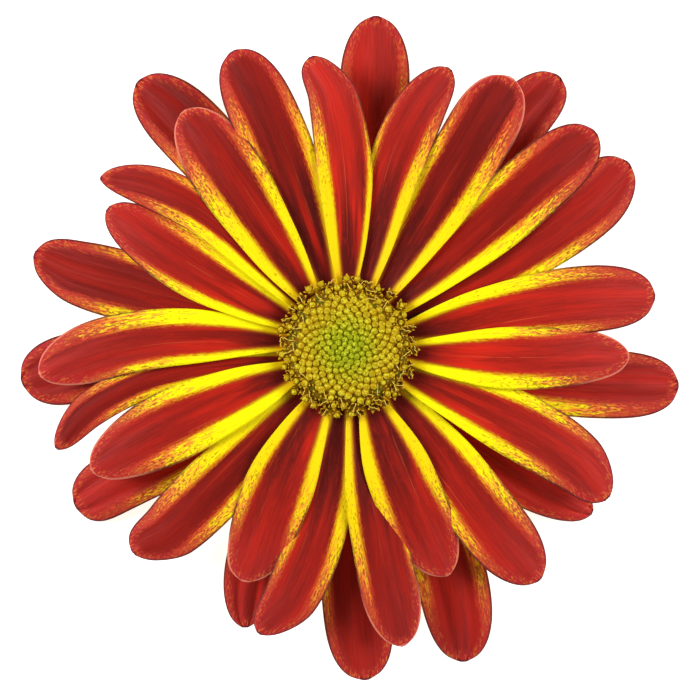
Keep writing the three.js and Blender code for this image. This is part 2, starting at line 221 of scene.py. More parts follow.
# The lower ray florets, which show between the upper ones.
LOWER_RAYS = (
    Ray((80, 82.8, 85), 38.7, 8.0, clearance=0.5, belly=0.72, blunt=2.8, band=(0.57, 0.57), tone=0.65),
    Ray((51, 52.6, 52.6), 40.1, 7.1, clearance=0.02,
        belly=0.74, blunt=3.2, tip_turn=-0.4, band=(0.6, 0.65), tone=0.6),
    Ray((-12, -9.5, -6.6), 38.9, 8.0, clearance=0.02, belly=0.72, blunt=3.2, band=(0.58, 0.46), tone=0.75),
    Ray((-36, -36.6, -34), 34.4, 6.8, clearance=1.4, belly=0.66, band=(0.6, 0.68), tone=0.8),
    Ray((-61, -63.5, -69.7), 39.1, 8.25, clearance=0.02, belly=0.72, blunt=3.0, band=(0.5, 0.53)),
    Ray((-90, -88.7, -86.7), 38.8, 7.8, clearance=0.7, belly=0.74, blunt=3.3, band=(0.6, 0.6), tone=0.45),
    Ray((-110, -114.4, -110), 34.7, 6.8, clearance=1.2, belly=0.66, band=(0.64, 0.7), tone=0.75),
    Ray((-144, -148, -150.1), 36.7, 7.3, clearance=0.02,
        belly=0.74, blunt=4.0, tip_turn=0.3, band=(0.5, 0.55), tone=0.75),
    Ray((-178, -177.5, -173.8), 38.1, 8.3, clearance=0.4,
        belly=0.72, blunt=3.4, band=(0.56, 0.68), tone=0.45),
    Ray((-198.5, -195.7, -195.8), 38.0, 7.95, clearance=1.0,
        belly=0.7, blunt=2.7, tip_turn=-0.5, band=(0.53, 0.58), tone=0.2),
    Ray((-238, -236.2, -231.7), 39.4, 8.15, clearance=0.02,
        belly=0.76, blunt=2.6, band=(0.57, 0.72), tone=0.15),
)

# Height of a low floret's middle line over its lowest corner at the tip.
LOW_TIP_RAISE = 0.68

# Foot of a ray floret's claw on the receptacle: its distance from the axis and its height.
# CLAW_END is where the claw ends along the floret, and CLAW_RADII is how thick it is.
CLAW_FOOT = (5.2, 5.35)
CLAW_END = 0.03
CLAW_RADII = (0.42, 0.6)

# Share of a blade's thickness that is left at its edge.
BLADE_EDGE_SHARE = 0.3

# The disc in millimetres.
DOME_RADIUS = 7.0
DOME_EDGE_HEIGHT = 10.2
DOME_TOP_HEIGHT = 12.2
DOME_UNDERSIDE = (9.0, 9.7)
PLUG_RADIUS = 4.1
PLUG_BOTTOM = 5.5
DOME_STEPS = 14
DOME_SIDES = 64
DOME_RAISE = 0.1

# Distances from the axis between which the painted shade between the buds turns from green to brown.
GAP_BLEND = (1.0, 5.0)

# The buds: their field, their radii in its middle and at its edge, how much these differ, how
# far a bud is off its place, the height of its middle over the dome, and its length over its
# width. The furrows between its lobes and the dent on top are shares of its radius.
BUD_FIELD_RADIUS = 5.65
BUD_SPACING_POWER = 0.56
BUD_RADII = (0.4, 0.54)
BUD_SIZES = (0.94, 1.06)
BUD_JITTER = 0.06
BUD_LIFT = 0.1
BUD_LENGTH = 1.2
BUD_FURROW = 0.3
BUD_DENT = 0.35
BUD_NUMBERS = ("tone", "crown", "lobe")

# The opening buds, each in the mouth of an open floret.
OPENING_HEIGHT = 1.0
OPENING_RADII = (0.38, 0.5)

# Rings of open florets: radius, height, lean outwards in radians, and the share that is still
# opening round a bud. OPEN_JITTER is how far each floret may be off the first three of these,
# and OPEN_STRAY how far round the disc, in steps from one floret to the next.
OPEN_RINGS = (
    {"radius": 5.8, "height": 10.5, "lean": 0.2, "budding": 0.8},
    {"radius": 6.35, "height": 10.15, "lean": 0.45, "budding": 0.55},
    {"radius": 6.9, "height": 9.8, "lean": 0.75, "budding": 0.4},
)
OPEN_JITTER = {"radius": 0.2, "height": 0.15, "lean": 0.2}
OPEN_STRAY = 0.6

# Outline of an open floret, from its foot outside up to its lip and down into its throat, and
# the smallest and largest of them as shares of it.
TRUMPET_HEIGHT = 1.15
TRUMPET = (
    (0, 0), (0.24, 0), (0.32, 0.4), (0.4, 0.75), (0.48, 0.98), (0.56, 1.1),
    (0.54, TRUMPET_HEIGHT), (0.46, 1.08), (0.39, 0.9), (0.3, 0.6), (0, 0.45),
)
TRUMPET_SIDES = 20
TRUMPET_SIZES = (0.8, 1.15)

# How far the lip draws in between two lobes and spreads in the middle of one, and how deep the
# clefts between the lobes are and how far their colour moves towards the painted shade of the throat.
LOBE_SPREAD = (-0.3, 0.25)
CLEFT_DEPTH = 0.3
CLEFT_SHADE = 0.25

# The stigmas: where they leave the floret, how far they are turned off its middle and how far
# round their curl they go, both in radians, the curl's radius, and half their thickness.
STIGMA_FOOT = 0.95
STIGMA_SPLAY = 0.3
STIGMA_CURLS = (0.24, 0.38)
STIGMA_TURNS = (2.2, 3.8)
STIGMA_RADIUS = 0.055

# The green back of the head in millimetres.
STALK_RADIUS = 2.0
RECEPTACLE_TOP = 5.2
CUP_OUTLINE = (
    (0, 0), (STALK_RADIUS - 0.05, 0), (STALK_RADIUS, 0.08), (STALK_RADIUS * 0.96, 0.7),
    (STALK_RADIUS * 0.94, 1.3), (STALK_RADIUS * 1.05, 1.75), (STALK_RADIUS * 1.3, 2.2),
    (3.5, 2.6), (4.6, 3.1), (5.6, 3.6), (6.4, 4.2), (6.8, 4.7), (6.85, 5.1),
    (6.7, RECEPTACLE_TOP), (0, RECEPTACLE_TOP),
)
CUP_SIDES = 60

# The stalk's ribs: their number, their depth as a share of its radius, and the height from
# which they fade out.
RIB_COUNT = 10
RIB_DEPTH = 0.05
RIB_END = 1.2

# The bracts: how far their edges turn up and their midribs stand out, and their rows, each with
# the distance from the axis and the height of its roots and of its tips.
BRACT_CUPPING = 0.3
BRACT_KEEL = 0.12
BRACT_ROWS = (
    {"count": 9, "root": (2.6, 2.3), "tip": (6.4, 3.6), "width": 3.2, "turn": 0.0},
    {"count": 10, "root": (3.9, 3.0), "tip": (7.9, 4.6), "width": 3.8, "turn": 0.5},
    {"count": 12, "root": (5.4, 3.9), "tip": (9.2, 5.0), "width": 3.8, "turn": 0.2},
)


def smoothstep(value):
    t = min(1.0, max(0.0, value))
    return t * t * (3 - 2 * t)


def lerp(start, end, share):
    return start + (end - start) * share


def polar(radius, azimuth, height):
    return Vector((radius * math.cos(azimuth), radius * math.sin(azimuth), height))


# Form of a ray floret, in millimetres. along runs from 0 at the root to 1 at the tip, and
# across from -1 at the clockwise edge to 1 at the other.

def ray_width_share(ray, along):
    if along < ray.belly:
        return 1 - (1 - NECK_WIDTH) * (1 - along / ray.belly) ** 2
    tip = min(1.0, (along - ray.belly) / (1 - ray.belly))
    return math.sqrt(max(END_WIDTH ** 2, 1 - tip ** ray.blunt))


def groove_share(across):
    return math.exp(-(((abs(across) - GROOVE_AT) / GROOVE_SPREAD) ** 2))


class RayForm(NamedTuple):
    """Works out points of a ray floret's middle surface. lifts is how its clockwise and its
    other edge lie: over the neighbour (1), under it (-1) or free of it (0)."""

    ray: Ray
    lifts: tuple
    groove_depth: float
    rise: float
    root_height: float
    tip_height: float

    def centre(self, along):
        root, half_way, tip = self.ray.azimuths
        azimuth = math.radians(
            root * (1 - along) * (1 - 2 * along)
            + half_way * 4 * along * (1 - along)
            + tip * along * (2 * along - 1)
        )
        radius = lerp(RAY_ROOT_RADIUS, self.ray.reach, along)
        fall = self.tip_height - self.root_height - self.rise
        height = self.root_height + self.rise * along + fall * along ** 2
        return polar(radius, azimuth, height)

    def side(self, along):
        """Unit vector across the floret, to its anticlockwise side."""
        heading = self.centre(along + 0.01) - self.centre(along - 0.01)
        return Vector((-heading.y, heading.x, 0)).normalized()

    def relief(self, along, across):
        edge = across ** 2
        outer = smoothstep((along - 0.3) / 0.6)
        channel = CHANNEL_DEPTH * (1 - along) ** 2 * edge
        arch = -BLADE_ARCH * outer * edge
        groove = -self.groove_depth * self.ray.groove * outer * groove_share(across)
        overlap = (self.lifts[0] * (1 - across) + self.lifts[1] * (1 + across)) / 2
        hold = 1 - 0.5 * smoothstep((along - 0.6) / 0.4)
        return channel + arch + groove + OVERLAP_LIFT * overlap * hold

    def point(self, along, across):
        sideways = across * ray_width_share(self.ray, along) * self.ray.width / 2
        sideways += self.ray.tip_turn * smoothstep((along - 0.82) / 0.18)
        rise = Vector((0, 0, self.relief(along, across)))
        return self.centre(along) + self.side(along) * sideways + rise


def upper_forms():
    """The upper ray florets, with edge lifts from the order in which they overlap."""
    forms = []
    for index, ray in enumerate(UPPER_RAYS):
        lifts = (ray.over, -UPPER_RAYS[index - 1].over)
        heights = (UPPER_RISE, UPPER_ROOT_HEIGHT, UPPER_TIP_HEIGHT)
        forms.append(RayForm(ray, lifts, UPPER_GROOVE, *heights))
    return forms


def lower_forms():
    forms = []
    for ray in LOWER_RAYS:
        heights = (LOWER_RISE, LOWER_ROOT_HEIGHT, ray.clearance + LOW_TIP_RAISE)
        forms.append(RayForm(ray, (0, 0), LOWER_GROOVE, *heights))
    return forms


def dome_height(radius):
    share = min(1.0, radius / DOME_RADIUS)
    return lerp(DOME_EDGE_HEIGHT, DOME_TOP_HEIGHT, math.sqrt(1 - share ** 2))


# Making and finishing objects

def new_object(name, bm, materials, smooth=True):
    """Turns a bmesh in millimetres into an object in metres, and frees the bmesh."""
    bmesh.ops.scale(bm, vec=(MM, MM, MM), verts=bm.verts)
    mesh = bpy.data.meshes.new(name)
    bm.to_mesh(mesh)
    bm.free()
    for material in materials:
        mesh.materials.append(material)
    if smooth:
        mesh.shade_smooth()
    return into_scene(name, mesh)


def into_scene(name, data):
    thing = bpy.data.objects.new(name, data)
    bpy.context.scene.collection.objects.link(thing)
    return thing


def set_numbers(piece, **numbers):
    """Stores numbers, each the same on every point of a mesh, for its material to read."""
    for name, number in numbers.items():
        data = piece.data.attributes.new(name, "FLOAT", "POINT").data
        data.foreach_set("value", [number] * len(data))


def put(piece, node):
    """Puts a piece in the place of a node of the frame."""
    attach(piece, BODY)
    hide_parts(node)


def turned(outline, sides):
    """A closed body turned about Z from (radius, height) pairs that start and end on the axis."""
    bm = bmesh.new()
    ring = [bm.verts.new((radius, 0, height)) for radius, height in outline]
    edges = [bm.edges.new(pair) for pair in zip(ring, ring[1:])]
    bmesh.ops.spin(
        bm, geom=ring + edges, cent=(0, 0, 0), axis=(0, 0, 1), dvec=(0, 0, 0),
        angle=math.tau, steps=sides, use_merge=True, use_duplicate=False,
    )
    bmesh.ops.remove_doubles(bm, verts=bm.verts, dist=1e-4)
    bmesh.ops.recalc_face_normals(bm, faces=bm.faces)
    return bm


# Materials

def by_math(operation):
    """Makes a method that puts an Output and another number through a math node."""
    def method(self, other=0.0):
        return self.nodes.math(operation, self, other)
    return method


class Output:
    """A shader node's output. Numbers of this kind are added, multiplied and so on as plain
    numbers are, and each such sum becomes a node."""

    def __init__(self, nodes, socket):
        self.nodes = nodes
        self.socket = socket

    __add__ = by_math("ADD")
    __sub__ = by_math("SUBTRACT")
    __mul__ = by_math("MULTIPLY")
    __truediv__ = by_math("DIVIDE")
    __pow__ = by_math("POWER")
    __abs__ = by_math("ABSOLUTE")

    def __rsub__(self, other):
        return self.nodes.math("SUBTRACT", other, self)

    def span(self, low, high, start, end, smooth=False):
        """start where the number is low, end where it is high."""
        inputs = {
            "Value": self, "From Min": low, "From Max": high, "To Min": start, "To Max": end,
        }
        kind = "SMOOTHSTEP" if smooth else "LINEAR"
        return self.nodes.output("Result", "ShaderNodeMapRange", inputs, interpolation_type=kind)

    def step(self, low, high):
        """0 where the number is low, 1 where it is high, and smooth in between."""
        return self.span(low, high, 0.0, 1.0, smooth=True)

    def fade(self, low, high):
        """1 where the number is low, 0 where it is high, and smooth in between."""
        return self.span(low, high, 1.0, 0.0, smooth=True)

    def near(self, centre, reach):
        """1 where the number is centre, falling smoothly to 0 at reach from it."""
        return abs(self - centre).fade(0.0, reach)

    def jitter(self, amount):
        """Turns a share from 0 to 1 into a shift of up to amount either way."""
        return self.span(0.0, 1.0, -amount, amount)


class Nodes:
    """Adds shader nodes to a tree in short calls. An input is a number, a colour or another
    node's Output."""

    def __init__(self, tree):
        self.tree = tree

    def add(self, kind, inputs=None, **settings):
        node = self.tree.nodes.new(kind)
        for name, value in settings.items():
            setattr(node, name, value)
        for name, value in (inputs or {}).items():
            self.feed(node.inputs[name], value)
        return node

    def output(self, name, kind, inputs=None, **settings):
        """Adds a node and gives one of its outputs."""
        return Output(self, self.add(kind, inputs, **settings).outputs[name])

    def feed(self, socket, value):
        if isinstance(value, Output):
            self.tree.links.new(value.socket, socket)
        elif socket.type == "RGBA":
            socket.default_value = (*value, 1.0)
        else:
            socket.default_value = value

    def math(self, operation, first, second=0.0):
        return self.output(0, "ShaderNodeMath", {0: first, 1: second}, operation=operation)

    def noise(self, vector, scale=1.0, detail=2.0):
        inputs = {"Vector": vector, "Scale": scale, "Detail": detail}
        return self.output("Fac", "ShaderNodeTexNoise", inputs)

    def xyz(self, x, y, z):
        return self.output(0, "ShaderNodeCombineXYZ", {"X": x, "Y": y, "Z": z})

    def scaled(self, colour, factor):
        inputs = {0: colour, "Scale": factor}
        return self.output("Vector", "ShaderNodeVectorMath", inputs, operation="SCALE")

    def mix(self, share, first, second):
        node = self.add("ShaderNodeMix", data_type="RGBA")
        sockets = {socket.identifier: socket for socket in (*node.inputs, *node.outputs)}
        self.feed(sockets["Factor_Float"], share)
        self.feed(sockets["A_Color"], first)
        self.feed(sockets["B_Color"], second)
        return Output(self, sockets["Result_Color"])

    def coated(self, colour, *coats):
        """A colour under coats, each with its share from 0 to 1 and its own colour."""
        for share, coat in coats:
            colour = self.mix(share, colour, coat)
        return colour

    def number(self, name):
        """A number that the points of the mesh hold."""
        return self.output("Fac", "ShaderNodeAttribute", attribute_name=name)

    def object_place(self):
        return self.output("Object", "ShaderNodeTexCoord")

    def blade_place(self):
        """Place on a blade, from its own UV map: along it, across it from -1 to 1 between its
        edges, and its offset from the middle as a share of half the full width."""
        place = self.output("UV", "ShaderNodeUVMap", uv_map="blade")
        parts = self.add("ShaderNodeSeparateXYZ", {"Vector": place}).outputs
        across = Output(self, parts["Y"]).span(0.0, 1.0, -1.0, 1.0)
        return Output(self, parts["X"]), across, across * self.number("spread")

    def from_axis(self):
        """Distance from the bloom's axis, and height, both in millimetres."""
        parts = self.add("ShaderNodeSeparateXYZ", {"Vector": self.object_place()}).outputs
        x, y, z = (Output(self, parts[name]) for name in "XYZ")
        inputs = {0: self.xyz(x, y, 0.0)}
        length = self.output("Value", "ShaderNodeVectorMath", inputs, operation="LENGTH")
        return length / MM, z / MM


def new_group(name, inputs, outputs):
    """A shader node group of numbers: its Nodes, the Outputs that it is given, and its end."""
    tree = bpy.data.node_groups.new(name, "ShaderNodeTree")
    for in_out, titles in (("INPUT", inputs), ("OUTPUT", outputs)):
        for title in titles:
            tree.interface.new_socket(title, in_out=in_out, socket_type="NodeSocketFloat")
    nodes = Nodes(tree)
    given = nodes.add("NodeGroupInput").outputs
    return nodes, [Output(nodes, given[title]) for title in inputs], nodes.add("NodeGroupOutput")


def fibre_group():
    """Lengthwise fibres of a blade, built once."""
    if FIBRES in bpy.data.node_groups:
        return bpy.data.node_groups[FIBRES]
    nodes, given, made = new_group(FIBRES, ("Along", "Offset", "Seed"), FIBRE_LAYERS)
    along, offset, seed = given
    for name, (long, wide, shift, detail) in FIBRE_LAYERS.items():
        place = nodes.xyz(along * long, offset * wide, seed + shift)
        nodes.feed(made.inputs[name], nodes.noise(place, detail=detail).step(*NOISE_RANGE))
    return nodes.tree


def mottle_group():
    """Soft uneven tone over a piece from its Object coordinates, built once."""
    if MOTTLE in bpy.data.node_groups:
        return bpy.data.node_groups[MOTTLE]
    nodes, (scale,), made = new_group(MOTTLE, ("Scale",), ("Coarse", "Grain"))
    place = nodes.object_place()
    for name, own_scale in (("Coarse", scale), ("Grain", scale * GRAIN_FINENESS)):
        nodes.feed(made.inputs[name], nodes.noise(place, own_scale).step(*NOISE_RANGE))
    return nodes.tree


def placed(nodes, tree, **inputs):
    """Places a group in a material, with its inputs, and gives its outputs in order."""
    node = nodes.add("ShaderNodeGroup", node_tree=tree)
    for title, value in inputs.items():
        nodes.feed(node.inputs[title], value)
    return [Output(nodes, socket) for socket in node.outputs]


def fibres(nodes, along, offset):
    """Places the fibre group in a material: its layers, in order."""
    return placed(nodes, fibre_group(), Along=along, Offset=offset, Seed=nodes.number("seed"))


def mottle(nodes, scale):
    """Places the mottle group in a material: its coarse tone and its grain."""
    return placed(nodes, mottle_group(), Scale=scale)


class Material(Nodes):
    """The nodes of a new material round its shader."""

    def __init__(self, name, roughness, specular):
        self.material = bpy.data.materials.new(name)
        self.material.use_nodes = True
        super().__init__(self.material.node_tree)
        self.sockets = self.tree.nodes["Principled BSDF"].inputs
        self.sockets["Roughness"].default_value = roughness
        self.sockets["Specular IOR Level"].default_value = specular

    def finished(self, colour, relief=None, strength=0.3, depth=0.00005):
        """Feeds the shader its colour and, from a relief, its bump, and gives the material."""
        self.feed(self.sockets["Base Color"], colour)
        if relief is not None:
            inputs = {"Height": relief, "Strength": strength, "Distance": depth}
            self.feed(self.sockets["Normal"], self.output("Normal", "ShaderNodeBump", inputs))
        return self.material


def band_edge(nodes, along, offset):
    """Where the red band ends on the side of a point, as a share of half the full width."""
    side = offset.step(-0.03, 0.03)
    half_way = side.span(0.0, 1.0, nodes.number("band_right"), nodes.number("band_left"))
    return half_way * (BAND_AT_TIP - (1.0 - along) ** BAND_NARROWING * BAND_LOSS)


def margin_colour(nodes, colours, along, streaky, fine):
    """Yellow margins that blush to orange and redden towards the tip, with painted shade in gold: at
    the root, where the disc shades them, on florets that point away from the side lamps, and in
    streaks along the fibres. streaky is the distance along, made uneven by the fibres."""
    yellow = nodes.mix(nodes.number("glow"), colours.margin_shade_gold, colours.margin_yellow)
    yellow = nodes.mix(fine.fade(0.1, 0.6) * 0.5, yellow, colours.margin_shade_gold)
    return nodes.coated(
        colours.margin_root_shade,
        (along.step(0.02, 0.18), yellow),
        (streaky.step(0.48, 0.8), colours.margin_orange),
        (streaky.step(0.72, 1.0), colours.margin_red),
    )


def dotted(nodes, colours, colour, along, streaky, layers):
    """Adds small dots, brown on yellow and dark red on orange, denser towards the tip."""
    broad, _, flecks, dots = layers
    dot = nodes.mix(streaky.step(0.42, 0.68), colours.dot_brown, colours.dot_red)
    limit = along.span(0.28, 0.9, 0.98, 0.42, smooth=True)
    share = (dots - (limit + (broad.jitter(0.1) + flecks.jitter(0.12)))).step(-0.14, 0.18)
    return nodes.mix(share * along.span(0.4, 0.8, 0.6, 0.92), colour, dot)


def band_colour(nodes, colours, along, offset, layers):
    """The crimson band, with soft lengthwise streaks of painted highlight and painted shade, stronger
    near the disc, painted shade at the root and a thin painted glint. How brightly it is lit is
    painted in and differs between the ray florets."""
    broad, fine, flecks, _ = layers
    dark, bright = colours.band_shade_red, colours.band_lit_red
    # Painted light and shade: the root of the band is bright red on florets that point towards the side
    # lamps and dark on the others.
    inner = nodes.mix(nodes.number("glow"), dark, bright)
    # Painted shade: the band darkens at the root, next to the disc.
    inner = nodes.mix(along.step(0.08, 0.35), dark, inner)
    outer = nodes.mix(along.step(0.6, 1.0), colours.band_middle, colours.band_tip)
    # Painted highlights and painted shade: streaks where the sides of the channel catch the light or turn
    # from it; the small bright flecks are painted highlights too.
    strength = along.span(0.3, 0.65, 0.7, 0.28, smooth=True)
    streak = broad.step(0.5, 0.95) * along.step(0.04, 0.3)
    # Painted highlight: a thin glint along a ridge of the band.
    nerve = offset.near(nodes.number("nerve"), 0.022) * fine.step(0.3, 0.6) * along.near(0.45, 0.35)
    colour = nodes.coated(
        inner,
        ((along + broad.jitter(0.12)).step(0.1, 0.62), outer),
        (streak * strength, bright),
        (broad.fade(0.05, 0.5) * strength, dark),
        (fine.step(0.45, 0.95) * 0.2, dark),
        (flecks.step(0.6, 1.0) * 0.16, bright),
        (nerve * 0.35, colours.nerve_red),
    )
    # Painted light and shade: tone makes each floret's red darker or brighter beyond its root, as it is
    # lit.
    tone = nodes.number("tone").span(0.0, 1.0, *BAND_TONES)
    return nodes.scaled(colour, (tone - 1.0) * along.step(0.1, 0.4) + 1.0)


def from_outline(nodes, along, offset):
    """Distance from a blade's outline, as a share of half the full width."""
    from_side = nodes.number("spread") - abs(offset)
    return nodes.math("MINIMUM", from_side, (1.0 - along) * BLADE_SLIMNESS)


def rim_colour(nodes, colours, colour, along, inwards, dots):
    """Adds a mottled crimson fringe round the tip and the thin line along the outline: a pale
    painted highlight where the tip lies over another ray floret and dark painted shade where it is free."""
    fringe_colour = nodes.mix(dots.step(0.55, 1.0) * 0.55, colours.tip_crimson, colours.margin_orange)
    fringe = inwards.fade(0.1, 0.4) * along.step(0.62, 0.9)
    covering = nodes.number("rim_light") * along.step(0.72, 0.88)
    line_colour = nodes.mix(covering, colours.edge_purple, colours.rim_highlight)
    line = inwards.fade(0.03, 0.08) * along.step(0.4, 0.75)
    return nodes.coated(colour, (fringe * 0.85, fringe_colour), (line * 0.8, line_colour))


def ray_face_material(colours):
    """The upper face of a ray floret: a crimson band between yellow margins, which redden
    towards the tip."""
    nodes = Material("ray floret face", roughness=0.55, specular=0.08)
    along, _, offset = nodes.blade_place()
    layers = fibres(nodes, along, offset)
    broad, fine, flecks, dots = layers

    inwards = from_outline(nodes, along, offset)
    past_band = abs(offset) - band_edge(nodes, along, offset)
    past_band = nodes.math("MAXIMUM", past_band, FRINGE_WIDTH - inwards)
    ragged = along.span(0.2, 0.55, 0.2, 1.0)
    past_band = past_band + (fine.jitter(0.03) + dots.jitter(0.035)) * ragged
    streaky = along + broad.jitter(0.06) + flecks.jitter(0.16)

    band = band_colour(nodes, colours, along, offset, layers)
    margin = margin_colour(nodes, colours, along, streaky, fine)
    seam_colour = nodes.mix(along.step(0.5, 0.9), colours.seam_gold, colours.margin_red)
    # Painted shade: the seam is darker near the disc.
    seam_colour = nodes.scaled(seam_colour, along.span(0.1, 0.45, 0.55, 1.0))
    margin = nodes.mix(past_band.fade(0.0, 0.13) * 0.9, margin, seam_colour)
    margin = dotted(nodes, colours, margin, along, streaky, layers)
    band = nodes.mix(past_band.step(-0.09, 0.0) * 0.55, band, seam_colour)
    colour = nodes.mix(past_band.step(-0.02, 0.02), band, margin)
    colour = rim_colour(nodes, colours, colour, along, inwards, dots)

    nodes.feed(nodes.sockets["Roughness"], fine.span(0.0, 1.0, 0.48, 0.64))
    return nodes.finished(colour, fine * 0.6 + dots * 0.2)


def ray_back_material(colours):
    """The underside of a ray floret: yellow, with a dull red shade down the middle."""
    nodes = Material("ray floret underside", roughness=0.6, specular=0.3)
    along, across, offset = nodes.blade_place()
    broad, fine, _, _ = fibres(nodes, along, offset)
    shade = abs(across).fade(0.25, 0.85) * broad.span(0.0, 1.0, 0.45, 0.9)
    shade = shade + along.step(0.55, 1.0) * 0.35
    colour = nodes.coated(
        colours.back_yellow,
        (shade, colours.back_red),
        (fine * 0.3, colours.back_yellow),
    )
    return nodes.finished(colour, fine, strength=0.5, depth=0.00006)


def ray_edge_material(colours):
    """The thin edge of a ray floret, yellow near the disc and purple red at the tip."""
    nodes = Material("ray floret edge", roughness=0.5, specular=0.3)
    along, _, offset = nodes.blade_place()
    _, _, _, dots = fibres(nodes, along, offset)
    tip = (along + dots * 0.2).step(0.45, 0.85)
    return nodes.finished(nodes.mix(tip, colours.margin_yellow, colours.edge_purple))


def claw_material(colours):
    """The tubes at the roots of the ray florets: pale green, mottled with yellow."""
    nodes = Material("ray floret claw", roughness=0.55, specular=0.35)
    coarse, grain = mottle(nodes, scale=900.0)
    return nodes.finished(nodes.mix(coarse, colours.claw_green, colours.claw_yellow), grain)


def bud_material(colours):
    """Closed buds: green in the middle of the disc and yellow further out, with painted shade at the
    foot and in the furrows between their five lobes, and a pale painted highlight in a star on top."""
    nodes = Material("disc buds", roughness=0.5, specular=0.12)
    radius, _ = nodes.from_axis()
    coarse, grain = mottle(nodes, scale=3600.0)
    scattered = radius + nodes.number("tone").jitter(0.9)
    top = nodes.mix(scattered.step(1.2, 5.4), colours.bud_green, colours.bud_yellow)
    foot = nodes.mix(radius.step(*GAP_BLEND), colours.gap_shade_green, colours.gap_shade_brown)
    crown = nodes.number("crown")
    furrow = nodes.number("lobe").fade(0.1, 0.8) * crown.step(0.5, 0.8)
    star = coarse.step(0.55, 0.85) * crown.step(0.6, 0.85)
    colour = nodes.coated(
        foot,
        (crown.step(0.36, 0.8), top),
        (furrow * 0.7, foot),
        (coarse.fade(0.2, 0.6) * 0.6, foot),
        (star * 0.6, colours.bud_highlight),
    )
    return nodes.finished(colour, grain, strength=0.25, depth=0.00004)


def dome_material(colours):
    """The dome that shows between the buds, in their painted shade, mottled with green and brown painted
    shade in its rim among the open florets.
    """
    nodes = Material("disc receptacle", roughness=0.7, specular=0.1)
    radius, _ = nodes.from_axis()
    coarse, grain = mottle(nodes, scale=1200.0)
    colour = nodes.mix(radius.step(*GAP_BLEND), colours.gap_shade_green, colours.gap_shade_brown)
    patches = nodes.mix(coarse.step(0.4, 0.9), colours.rim_shade_brown, colours.rim_shade_green)
    colour = nodes.mix(radius.step(5.2, 5.7), colour, patches)
    return nodes.finished(colour, grain, strength=0.5, depth=0.00008)


def trumpet_material(colours):
    """Open florets: brown painted shade at the foot, yellow at the lip and brown painted shade down the
    throat.
    """
    nodes = Material("open florets", roughness=0.5, specular=0.12)
    coarse, grain = mottle(nodes, scale=1500.0)
    place = nodes.number("lip")
    colour = nodes.coated(
        colours.rim_shade_brown,
        (place.step(0.3, 0.85), colours.floret_yellow),
        (place.near(1.0, 0.08), colours.lip_yellow),
        (place.step(1.04, 1.22), colours.throat_shade_brown),
        (coarse * 0.3, colours.rim_shade_brown),
    )
    return nodes.finished(colour, grain, strength=0.3, depth=0.00004)


def stigma_material(colours):
    """Pale curled stigmas."""
    nodes = Material("stigmas", roughness=0.5, specular=0.12)
    coarse, grain = mottle(nodes, scale=2500.0)
    return nodes.finished(nodes.mix(coarse, colours.lip_yellow, colours.stigma_cream), grain)


def green_material(colours):
    """Receptacle and stalk: green, with the pale pith on the fresh cut."""
    nodes = Material("receptacle green", roughness=0.6, specular=0.35)
    radius, height = nodes.from_axis()
    coarse, grain = mottle(nodes, scale=500.0)
    colour = nodes.mix(coarse, colours.green_dark, colours.green_light)
    pith = nodes.mix(radius.step(1.2, 1.7), colours.pith_pale, colours.green_light)
    colour = nodes.mix(height.fade(0.01, 0.06), colour, pith)
    return nodes.finished(colour, grain, strength=0.4, depth=0.0001)


def bract_material(colours):
    """Bracts of the involucre: green with a paler midrib and thin brownish margins."""
    nodes = Material("bract", roughness=0.55, specular=0.35)
    along, across, offset = nodes.blade_place()
    broad, fine, _, _ = fibres(nodes, along, offset)
    from_middle = abs(across)
    colour = nodes.coated(
        colours.green_dark,
        (broad, colours.green_light),
        (from_middle.fade(0.05, 0.3) * 0.35, colours.green_light),
        ((from_middle + along * 0.35).step(0.95, 1.15), colours.bract_margin),
    )
    return nodes.finished(colour, fine, strength=0.4, depth=0.00006)


# Ray florets

def blade_along(x):
    """Share of a blade's length for a grid coordinate from -1 to 1, closer set at the tip."""
    return 1 - ((1 - x) / 2) ** TIP_CROWDING


def shaped_blade(name, point, spread, steps, thinning, materials, thickness):
    """A thin curved blade: a grid laid out by point(along, across), which gets a wall.
    spread(along) is its width there as a share of its full width. Its materials are those of
    its face, its back and its edge, or one for all."""
    bm = bmesh.new()
    blade_map = bm.loops.layers.uv.new("blade")
    bmesh.ops.create_grid(bm, x_segments=steps[0], y_segments=steps[1], size=1.0)
    flesh = bm.verts.layers.deform.verify()
    width = bm.verts.layers.float.new("spread")
    for face in bm.faces:
        for loop in face.loops:
            loop[blade_map].uv = (blade_along(loop.vert.co.x), (loop.vert.co.y + 1) / 2)
    for vert in bm.verts:
        along, across = blade_along(vert.co.x), vert.co.y
        vert[flesh][0] = thinning(along, across)
        vert[width] = spread(along)
        vert.co = point(along, across)
    piece = new_object(name, bm, materials)
    piece.vertex_groups.new(name="flesh")
    wall = piece.modifiers.new("wall", "SOLIDIFY")
    wall.thickness = thickness
    wall.offset = 0.0
    wall.vertex_group = "flesh"
    wall.thickness_vertex_group = BLADE_EDGE_SHARE
    if len(materials) > 1:
        wall.material_offset = 1
        wall.material_offset_rim = 2
    return piece


def ray_thinning(along, across):
    return (1 - across ** 4) * (1 - 0.6 * smoothstep((along - 0.85) / 0.15))


def covers_tip(ray):
    """Whether the tip of an upper ray floret lies over a lower one."""
    return any(
        lower.reach > ray.reach and abs(lower.azimuths[2] - ray.azimuths[2]) < COVER_ANGLE
        for lower in LOWER_RAYS
    )


